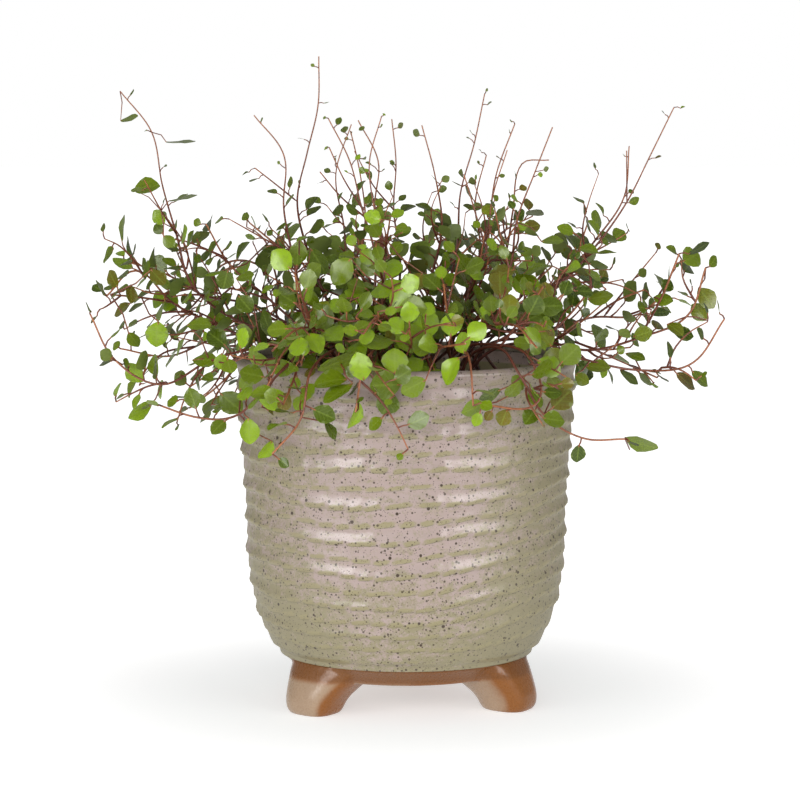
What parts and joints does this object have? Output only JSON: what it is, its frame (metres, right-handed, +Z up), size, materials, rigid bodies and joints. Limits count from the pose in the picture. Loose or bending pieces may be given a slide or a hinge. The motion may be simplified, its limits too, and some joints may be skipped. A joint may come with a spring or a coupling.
{
  "type": "potted wire vine",
  "caption": "Wire vine with wiry red-brown stems and small round leaves, planted in soil in a ribbed, speckled, glazed ceramic pot on stubby feet",
  "frame": {"origin": "On the floor under the pot's axis, which is the middle of the object's outline seen from above, so the feet's flats are at z = 0", "axes": "Z up along the pot's axis; -Y is the front that the picture shows and +X is its right"},
  "size_m": [0.2363, 0.1921, 0.2489],
  "materials": {
    "glaze": "gloss",
    "soil": "matte",
    "foliage": "satin"
  },
  "bodies": {
    "root": {"pot": "glaze", "soil": "soil", "vine_centre": "foliage", "vine_centre_front": "foliage", "vine_centre_left": "foliage", "vine_centre_rear": "foliage", "vine_centre_right": "foliage", "vine_front_first": "foliage", "vine_front_hang": "foliage", "vine_front_left": "foliage", "vine_front_reach": "foliage", "vine_front_reach_left": "foliage", "vine_front_reach_right": "foliage", "vine_front_right": "foliage", "vine_front_second": "foliage", "vine_front_third": "foliage", "vine_left_far": "foliage", "vine_left_inner": "foliage", "vine_left_low": "foliage", "vine_left_middle": "foliage", "vine_left_pair": "foliage", "vine_left_rear": "foliage", "vine_left_tall": "foliage", "vine_left_upper": "foliage", "vine_rear_01": "foliage", "vine_rear_02": "foliage", "vine_rear_03": "foliage", "vine_rear_04": "foliage", "vine_rear_05": "foliage", "vine_rear_06": "foliage", "vine_rear_07": "foliage", "vine_rear_08": "foliage", "vine_rear_09": "foliage", "vine_rear_10": "foliage", "vine_rear_11": "foliage", "vine_rear_12": "foliage", "vine_right_arch": "foliage", "vine_right_cluster": "foliage", "vine_right_front_tall": "foliage", "vine_right_inner": "foliage", "vine_right_level": "foliage", "vine_right_loop": "foliage", "vine_right_reach": "foliage", "vine_right_rear": "foliage", "vine_right_rear_tall": "foliage", "vine_right_second": "foliage", "vine_right_tall": "foliage", "vine_right_trail": "foliage", "vine_tallest": "foliage"}
  },
  "joints": []
}
